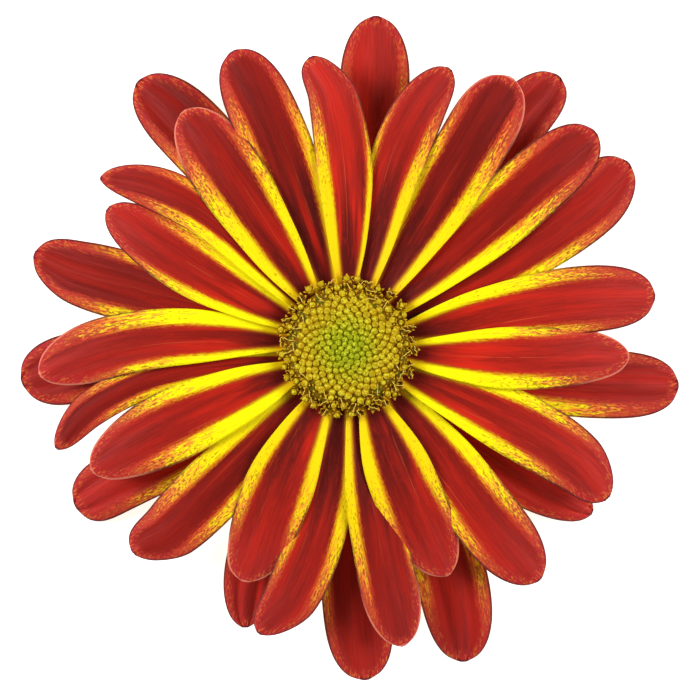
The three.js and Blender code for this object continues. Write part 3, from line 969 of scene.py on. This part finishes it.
def ray_piece(name, form, seed, thickness, materials):
    rng = random.Random(seed)
    phases = [rng.uniform(0, math.tau) for _ in range(3)]

    def point(along, across):
        roll = math.sin(ROLL_WAVES * along + phases[0]) * across
        curl = math.sin(CURL_WAVES * along + phases[1]) * across ** 2
        ripple = math.sin(RIPPLE_WAVES * along + phases[2])
        hold = smoothstep(along / 0.4)
        rise = Vector((0, 0, hold * (ROLL_DEPTH * (roll + curl) + RIPPLE_DEPTH * ripple)))

        side = form.side(along)
        inward = Vector((-side.y, side.x, 0))
        offset = abs(across * ray_width_share(form.ray, along))
        notch = math.exp(-(((offset - NOTCH_AT) / NOTCH_SPREAD) ** 2))
        notch *= TIP_NOTCH * smoothstep((along - 0.9) / 0.1)
        waver = WAVER_DEPTH * hold * math.sin(WAVER_WAVES * along + phases[0]) * across
        return form.point(along, across) + rise + inward * notch + side * waver

    spread = partial(ray_width_share, form.ray)
    piece = shaped_blade(name, point, spread, RAY_STEPS, ray_thinning, materials, thickness)
    # Painted light: florets that point along X, towards the side lamps, get a lit red root and bright
    # yellow margins, and the others get painted shade.
    sideways = abs(math.cos(math.radians(form.ray.azimuths[0])))
    set_numbers(
        piece,
        seed=rng.uniform(0, 50),
        band_left=form.ray.band[0],
        band_right=form.ray.band[1],
        glow=smoothstep((sideways - 0.3) / 0.7),
        nerve=rng.uniform(-GLINT_REACH, GLINT_REACH),
        rim_light=float(covers_tip(form.ray)),
        tone=form.ray.tone,
    )
    put(piece, "ray_florets")


def claw_piece(forms, materials):
    """The narrow tubes by which the ray florets are rooted round the receptacle."""
    bm = bmesh.new()
    for form in forms:
        root = form.point(CLAW_END, 0)
        outward = Vector((root.x, root.y, 0)).normalized()
        foot = outward * CLAW_FOOT[0] + Vector((0, 0, CLAW_FOOT[1]))
        reach = root - foot
        turn = reach.to_track_quat("Z", "Y").to_matrix().to_4x4()
        bmesh.ops.create_cone(
            bm, cap_ends=True, segments=12, radius1=CLAW_RADII[0], radius2=CLAW_RADII[1],
            depth=reach.length, matrix=Matrix.Translation(foot + reach / 2) @ turn,
        )
    put(new_object("ray_floret_claws", bm, materials), "ray_florets")


# Disc

def dome_piece(materials):
    """The dome that the buds stand on, with the plug under it."""
    outline = [
        (0, PLUG_BOTTOM), (PLUG_RADIUS, PLUG_BOTTOM), (PLUG_RADIUS, DOME_UNDERSIDE[0]),
        (DOME_RADIUS, DOME_UNDERSIDE[1]),
    ]
    for index in range(DOME_STEPS):
        radius = DOME_RADIUS * math.cos(index / DOME_STEPS * math.pi / 2)
        outline.append((radius, dome_height(radius) + DOME_RAISE))
    outline.append((0, DOME_TOP_HEIGHT + DOME_RAISE))
    piece = new_object("disc_receptacle", turned(outline, DOME_SIDES), materials)
    put(piece, "disc_florets")


def dome_tilt(radius, azimuth):
    """Rotation that stands a floret square on the dome at a radius and an azimuth."""
    slope = (dome_height(radius - 0.1) - dome_height(radius + 0.1)) / 0.2
    return Matrix.Rotation(azimuth, 4, "Z") @ Matrix.Rotation(math.atan(slope), 4, "Y")


def any_turn(rng):
    return Matrix.Rotation(rng.uniform(0, math.tau), 4, "Z")


def lobe_share(place):
    """1 in the middle of one of a floret's five lobes, 0 in the furrow between two."""
    return 0.5 + 0.5 * math.cos(5 * math.atan2(place.y, place.x))


def add_bud(bm, matrix, size, shade):
    """Adds a bud with five lobes that meet in a dent on top."""
    tone, crown, lobes = (bm.verts.layers.float[name] for name in BUD_NUMBERS)
    verts = bmesh.ops.create_uvsphere(bm, u_segments=10, v_segments=6, radius=1.0)["verts"]
    for vert in verts:
        flat = math.hypot(vert.co.x, vert.co.y)
        lobe = lobe_share(vert.co) * (flat > 0.1)
        vert[tone] = shade
        vert[crown] = (vert.co.z + 1) / 2
        vert[lobes] = lobe
        squeeze = 1 - BUD_FURROW * (1 - lobe) * flat
        dent = BUD_DENT * smoothstep((vert.co.z - 0.3) / 0.5) * (1 - lobe)
        vert.co = (vert.co.x * squeeze, vert.co.y * squeeze, vert.co.z - dent)
    matrix = matrix @ Matrix.Diagonal((size, size, size * BUD_LENGTH, 1))
    bmesh.ops.transform(bm, matrix=matrix, verts=verts)


def bud_piece(count, open_count, materials):
    """Closed buds in the golden-angle spiral, small in the middle and larger outside, and the
    ones just opening among the open florets."""
    rng = random.Random(11)
    bm = bmesh.new()
    for name in BUD_NUMBERS:
        bm.verts.layers.float.new(name)
    for index in range(count):
        share = (index + 0.5) / count
        radius = BUD_FIELD_RADIUS * share ** BUD_SPACING_POWER
        azimuth = index * GOLDEN_ANGLE
        size = lerp(*BUD_RADII, radius / BUD_FIELD_RADIUS) * rng.uniform(*BUD_SIZES)
        shade = rng.random()
        drift = Vector([rng.uniform(-BUD_JITTER, BUD_JITTER) for _ in range(2)] + [BUD_LIFT])
        spot = polar(radius, azimuth, dome_height(radius)) + drift
        matrix = Matrix.Translation(spot) @ dome_tilt(radius, azimuth)
        add_bud(bm, matrix @ any_turn(rng), size, shade)
    for stand, opening in open_florets(open_count):
        if opening:
            stand = stand @ Matrix.Translation((0, 0, OPENING_HEIGHT))
            add_bud(bm, stand, rng.uniform(*OPENING_RADII), rng.random())
    put(new_object("disc_buds", bm, materials), "disc_florets")


def open_florets(count):
    """How each open floret stands round the disc's edge, and whether it is only opening."""
    rng = random.Random(23)
    florets = []
    for index in range(count):
        ring = OPEN_RINGS[index % len(OPEN_RINGS)]
        azimuth = (index + rng.uniform(-OPEN_STRAY, OPEN_STRAY)) / count * math.tau
        radius, height, lean = (
            ring[name] + rng.uniform(-reach, reach) for name, reach in OPEN_JITTER.items()
        )
        spot = Matrix.Translation(polar(radius, azimuth, height))
        stand = spot @ Matrix.Rotation(azimuth, 4, "Z") @ Matrix.Rotation(lean, 4, "Y")
        florets.append((stand, rng.random() < ring["budding"]))
    return florets


def trumpet_piece(count, materials):
    """Open disc florets: small trumpets with five lobes, each point with its place from 0 at
    the foot outside over 1 at the lip to 2 in the throat."""
    rng = random.Random(31)
    bm = bmesh.new()
    lip = bm.verts.layers.float.new("lip")
    for stand, _ in open_florets(count):
        floret = turned(TRUMPET, TRUMPET_SIDES)
        floret.normal_update()
        places = {}
        for vert in floret.verts:
            outside = vert.normal.x * vert.co.x + vert.normal.y * vert.co.y > 0 or vert.co.z < 0.1
            height = vert.co.z / TRUMPET_HEIGHT
            places[vert] = height if outside else 2 - height
        for vert in floret.verts:
            flare = smoothstep((math.hypot(vert.co.x, vert.co.y) - 0.36) / 0.2)
            lobe = lobe_share(vert.co)
            spread = 1 + flare * lerp(*LOBE_SPREAD, lobe)
            cleft = (1 - lobe) * flare
            places[vert] += CLEFT_SHADE * cleft
            vert.co = (vert.co.x * spread, vert.co.y * spread, vert.co.z - CLEFT_DEPTH * cleft)
        matrix = stand @ any_turn(rng)
        matrix = matrix @ Matrix.Scale(rng.uniform(*TRUMPET_SIZES), 4)
        add_copy(bm, floret, matrix, places, lip)
        floret.free()
    put(new_object("open_florets", bm, materials), "disc_florets")


def add_copy(bm, source, matrix, places, layer):
    """Adds a transformed copy of another bmesh, with a number for each of its points."""
    copies = {}
    for vert in source.verts:
        copies[vert] = bm.verts.new(matrix @ vert.co)
        copies[vert][layer] = places[vert]
    for face in source.faces:
        bm.faces.new([copies[vert] for vert in face.verts])


def curled_arm(bm, matrix, curl_radius, turn):
    """A stigma's arm: a thin round rod bent round an arc."""
    start = Matrix.Translation((-curl_radius, 0, 0))
    ring = bmesh.ops.create_circle(bm, cap_ends=True, segments=6, radius=STIGMA_RADIUS, matrix=start)
    disk = ring["verts"][0].link_faces[0]
    before = set(bm.verts)
    bmesh.ops.spin(
        bm, geom=list(disk.verts) + list(disk.edges) + [disk], cent=(0, 0, 0), axis=(0, 1, 0),
        dvec=(0, 0, 0), angle=turn, steps=8, use_merge=False, use_duplicate=False,
    )
    verts = ring["verts"] + [vert for vert in bm.verts if vert not in before]
    bmesh.ops.transform(bm, matrix=matrix @ Matrix.Translation((curl_radius, 0, 0)), verts=verts)


def stigma_piece(count, materials):
    """Curled stigmas that stand out of the open florets, two to each."""
    rng = random.Random(47)
    bm = bmesh.new()
    for stand, opening in open_florets(count):
        if opening:
            continue
        mouth = stand @ Matrix.Translation((0, 0, STIGMA_FOOT))
        facing = rng.uniform(0, math.tau)
        for arm in range(2):
            splay = rng.uniform(-STIGMA_SPLAY, STIGMA_SPLAY)
            turn = Matrix.Rotation(facing + arm * math.pi + splay, 4, "Z")
            curled_arm(bm, mouth @ turn, rng.uniform(*STIGMA_CURLS), rng.uniform(*STIGMA_TURNS))
    bmesh.ops.recalc_face_normals(bm, faces=bm.faces)
    put(new_object("stigmas", bm, materials), "disc_florets")


# Green back of the head

def cup_piece(materials):
    """Receptacle and stalk stub, with the stalk's ribs."""
    bm = turned(CUP_OUTLINE, CUP_SIDES)
    for vert in bm.verts:
        ribbed = 1 - smoothstep((vert.co.z - RIB_END) / RIB_END)
        wave = math.cos(RIB_COUNT * math.atan2(vert.co.y, vert.co.x))
        rib = 1 - RIB_DEPTH * ribbed * (0.5 - 0.5 * wave)
        vert.co = (vert.co.x * rib, vert.co.y * rib, vert.co.z)
    put(new_object("receptacle", bm, materials), "involucre")


def bract_spread(along):
    return math.sqrt(max(0.012, 1 - along ** 2)) * (0.75 + 0.25 * smoothstep(along * 2))


def bract_point(row, azimuth, along, across):
    radius = lerp(row["root"][0], row["tip"][0], along)
    height = lerp(row["root"][1], row["tip"][1], along * (1.4 - 0.4 * along))
    side = across * bract_spread(along) * row["width"] / 2
    keel = BRACT_KEEL * math.exp(-((across / 0.16) ** 2)) * (1 - along)
    place = Vector((radius, side, height + BRACT_CUPPING * across ** 2 - keel))
    return Matrix.Rotation(azimuth, 3, "Z") @ place


def bract_thinning(along, across):
    return 1 - across ** 4


def bract_piece(name, row, index, thickness, materials):
    azimuth = (index + row["turn"]) / row["count"] * math.tau
    point = partial(bract_point, row, azimuth)
    piece = shaped_blade(name, point, bract_spread, BRACT_STEPS, bract_thinning, materials, thickness)
    set_numbers(piece, seed=azimuth * 7)
    put(piece, "involucre")


# Stage

def floor_piece():
    """A pale, plain floor."""
    nodes = Material("pale floor", roughness=0.9, specular=0.1)
    tone = nodes.noise(nodes.object_place(), 40.0)
    nodes.feed(nodes.sockets["Emission Color"], (1, 1, 1))
    nodes.feed(nodes.sockets["Emission Strength"], FLOOR_GLOW)
    material = nodes.finished(nodes.mix(tone, (0.8, 0.8, 0.8), (0.83, 0.83, 0.83)))
    bm = bmesh.new()
    bmesh.ops.create_grid(bm, x_segments=1, y_segments=1, size=1500.0)
    bmesh.ops.translate(bm, vec=(0, 0, -FLOOR_GAP), verts=bm.verts)
    floor = new_object("floor", bm, [material], smooth=False)


def soft_lamp(name, place, power):
    """A square area lamp that faces the bloom. place is in metres."""
    data = bpy.data.lights.new(name, "AREA")
    data.energy = power
    data.size = LAMP_SIZE
    lamp = into_scene(name, data)
    lamp.location = place
    lamp.rotation_euler = Vector(place).to_track_quat("Z", "Y").to_euler()


def set_camera():
    """Looks straight down on the face of the bloom, as the photo does."""
    data = bpy.data.cameras.new("camera")
    data.lens = CAMERA_LENS
    data.sensor_width = CAMERA_SENSOR
    data.clip_start = 0.01
    distance = CAMERA_LENS / CAMERA_SENSOR * IMAGE_SPAN
    camera = into_scene("camera", data)
    camera.location = (IMAGE_CENTRE[0] * MM, IMAGE_CENTRE[1] * MM, (FACE_HEIGHT + distance) * MM)
    bpy.context.scene.camera = camera


# Add-on

def tint(name, description, default):
    return FloatVectorProperty(
        name=name, description=description, subtype="COLOR", size=3, min=0, max=1, default=default
    )


class RaySettings(bpy.types.PropertyGroup):
    """Sizes and colours of the ray florets."""

    thickness: FloatProperty(
        name="Thickness", description="Thickness of a ray floret along its middle",
        default=0.00036, min=0.0001, max=0.001, subtype="DISTANCE", unit="LENGTH",
    )
    margin_yellow: tint("Margin", "Yellow of the margins", (0.98, 0.92, 0.001))
    # Painted shade: the gold of margins that the lamps catch less.
    margin_shade_gold: tint("Deep margin", "Deeper yellow of some margins", (0.93, 0.68, 0.002))
    # Painted shade: the gold of the margins next to the disc.
    margin_root_shade: tint("Margin root", "Gold of the margins at the disc", (0.98, 0.5, 0.004))
    margin_orange: tint("Blush", "Orange of the outer margins", (0.92, 0.29, 0.03))
    margin_red: tint("Margin tip", "Red of the margins at the tip", (0.66, 0.058, 0.024))
    dot_brown: tint("Dots", "Brown of the dots on yellow", (0.42, 0.17, 0.004))
    dot_red: tint("Outer dots", "Red of the dots on orange", (0.38, 0.018, 0.018))
    tip_crimson: tint("Fringe", "Bright crimson round the tip", (0.45, 0.022, 0.026))
    # Painted shade and painted light: the darkest and the brightest red of the band.
    band_shade_red: tint("Dark band", "Darkest red of the band", (0.1, 0.006, 0.004))
    band_lit_red: tint("Bright band", "Brightest red of the band", (0.6, 0.017, 0.005))
    band_middle: tint("Band", "Band half way along", (0.31, 0.012, 0.007))
    band_tip: tint("Band at the tip", "Band near the tip", (0.37, 0.021, 0.017))
    # Painted highlight: the thin glint along a ridge of the band.
    nerve_red: tint("Glint", "Thin bright nerve in the band", (0.72, 0.12, 0.04))
    seam_gold: tint("Seam", "Line where band and margin meet", (0.54, 0.08, 0.004))
    # Painted highlight along the outline of a tip that lies over another floret.
    rim_highlight: tint("Rim", "Pale line along the tip", (0.76, 0.24, 0.15))
    # Also the painted shade along the outline of a free tip.
    edge_purple: tint("Edge", "Thin edge of the tip", (0.09, 0.01, 0.018))
    back_yellow: tint("Underside", "Yellow of the underside", (0.62, 0.42, 0.06))
    back_red: tint("Underside shade", "Dull red of the underside", (0.42, 0.1, 0.05))
    claw_green: tint("Claw green", "Green of the claws", (0.3, 0.38, 0.06))
    claw_yellow: tint("Claw yellow", "Yellow of the claws", (0.6, 0.52, 0.06))


class DiscSettings(bpy.types.PropertyGroup):
    """Numbers and colours of the disc florets."""

    bud_count: IntProperty(
        name="Buds", description="Number of closed buds", default=192, min=20, max=400,
    )
    open_count: IntProperty(
        name="Open florets", description="Number of open florets", default=102, min=6, max=150,
    )
    bud_green: tint("Inner buds", "Green of the inner buds", (0.44, 0.47, 0.004))
    bud_yellow: tint("Outer buds", "Yellow of the outer buds", (0.61, 0.43, 0.003))
    # Painted highlight on top of a bud.
    bud_highlight: tint("Bud tips", "Pale tip of a bud", (0.8, 0.78, 0.04))
    # Painted shade between the buds, green inside and brown further out.
    gap_shade_green: tint("Inner gaps", "Shade between the inner buds", (0.25, 0.28, 0.002))
    gap_shade_brown: tint("Outer gaps", "Shade between the outer buds", (0.42, 0.24, 0.002))
    # Painted shade between the open florets, in green and brown patches.
    rim_shade_green: tint("Green rim", "Green between the open florets", (0.14, 0.13, 0.003))
    rim_shade_brown: tint("Brown rim", "Brown between the open florets", (0.24, 0.11, 0.002))
    # Painted shade down the throat of an open floret.
    throat_shade_brown: tint("Throats", "Inside of an open floret", (0.19, 0.075, 0.002))
    floret_yellow: tint("Open florets", "Lobes of an open floret", (0.66, 0.38, 0.003))
    lip_yellow: tint("Lips", "Lip of an open floret", (0.76, 0.52, 0.04))
    stigma_cream: tint("Stigmas", "Stigmas of the open florets", (0.82, 0.62, 0.11))


class BackSettings(bpy.types.PropertyGroup):
    """Sizes and colours of the green back of the head."""

    bract_thickness: FloatProperty(
        name="Bract thickness", description="Thickness of a bract along its middle",
        default=0.0004, min=0.0001, max=0.001, subtype="DISTANCE", unit="LENGTH",
    )
    green_dark: tint("Dark green", "Darker green of the back", (0.06, 0.15, 0.02))
    green_light: tint("Light green", "Lighter green of the back", (0.16, 0.3, 0.05))
    pith_pale: tint("Pith", "Pale pith on the cut", (0.62, 0.66, 0.42))
    bract_margin: tint("Bract margin", "Papery margin of a bract", (0.35, 0.24, 0.1))


class BLOOM_OT_ray_florets(bpy.types.Operator):
    """Adds the two whorls of ray florets and the claws that root them"""

    bl_idname = "bloom.ray_florets"
    bl_label = "Ray Florets"

    def execute(self, context):
        settings = context.scene.bloom_rays
        makers = (ray_face_material, ray_back_material, ray_edge_material)
        materials = [make(settings) for make in makers]
        upper, lower = upper_forms(), lower_forms()
        for whorl, forms, first_seed in (("upper", upper, 1), ("lower", lower, 101)):
            for index, form in enumerate(forms):
                name = f"{whorl}_ray_{index + 1:02d}"
                ray_piece(name, form, first_seed + index, settings.thickness, materials)
        claw_piece(upper + lower, [claw_material(settings)])
        return {"FINISHED"}


class BLOOM_OT_disc(bpy.types.Operator):
    """Adds the domed disc with its buds, open florets and stigmas"""

    bl_idname = "bloom.disc"
    bl_label = "Disc"

    def execute(self, context):
        settings = context.scene.bloom_disc
        dome_piece([dome_material(settings)])
        bud_piece(settings.bud_count, settings.open_count, [bud_material(settings)])
        trumpet_piece(settings.open_count, [trumpet_material(settings)])
        stigma_piece(settings.open_count, [stigma_material(settings)])
        return {"FINISHED"}


class BLOOM_OT_back(bpy.types.Operator):
    """Adds the receptacle with its stalk stub, and the rows of bracts"""

    bl_idname = "bloom.back"
    bl_label = "Green Back"

    def execute(self, context):
        settings = context.scene.bloom_back
        cup_piece([green_material(settings)])
        materials = [bract_material(settings)]
        for row_number, row in enumerate(BRACT_ROWS, 1):
            for index in range(row["count"]):
                name = f"bract_{row_number}_{index + 1:02d}"
                bract_piece(name, row, index, settings.bract_thickness, materials)
        return {"FINISHED"}


class BLOOM_OT_stage(bpy.types.Operator):
    """Adds the floor, the lamps and the camera that looks down on the bloom"""

    bl_idname = "bloom.stage"
    bl_label = "Stage"

    def execute(self, context):
        floor_piece()
        soft_lamp("left lamp", LEFT_LAMP, LEFT_POWER)
        soft_lamp("right lamp", RIGHT_LAMP, RIGHT_POWER)
        world = bpy.data.worlds.new("soft light")
        world.use_nodes = True
        sky = world.node_tree.nodes["Background"]
        sky.inputs["Color"].default_value = (1, 1, 1, 1)
        sky.inputs["Strength"].default_value = SKY_STRENGTH
        context.scene.world = world
        context.scene.view_settings.view_transform = "Standard"
        set_camera()
        return {"FINISHED"}


class BLOOM_PT_panel(bpy.types.Panel):
    """Sizes and colours of the bloom, and the steps that build it"""

    bl_label = "Chrysanthemum Bloom"
    bl_space_type = "VIEW_3D"
    bl_region_type = "UI"
    bl_category = "Bloom"

    def draw(self, context):
        for group_name in GROUPS:
            group = getattr(context.scene, group_name)
            for name in group.__annotations__:
                self.layout.prop(group, name)
        for step in STEPS:
            self.layout.operator(step.bl_idname)


STEPS = (BLOOM_OT_ray_florets, BLOOM_OT_disc, BLOOM_OT_back, BLOOM_OT_stage)
GROUPS = {"bloom_rays": RaySettings, "bloom_disc": DiscSettings, "bloom_back": BackSettings}
CLASSES = (*GROUPS.values(), *STEPS, BLOOM_PT_panel)


def register():
    for cls in CLASSES:
        bpy.utils.register_class(cls)
    for name, group in GROUPS.items():
        setattr(bpy.types.Scene, name, PointerProperty(type=group))


def unregister():
    for name in GROUPS:
        delattr(bpy.types.Scene, name)
    for cls in reversed(CLASSES):
        bpy.utils.unregister_class(cls)


def main():
    register()
    bpy.ops.bloom.ray_florets()
    bpy.ops.bloom.disc()
    bpy.ops.bloom.back()
    bpy.ops.bloom.stage()


if __name__ == "__main__":
    main()
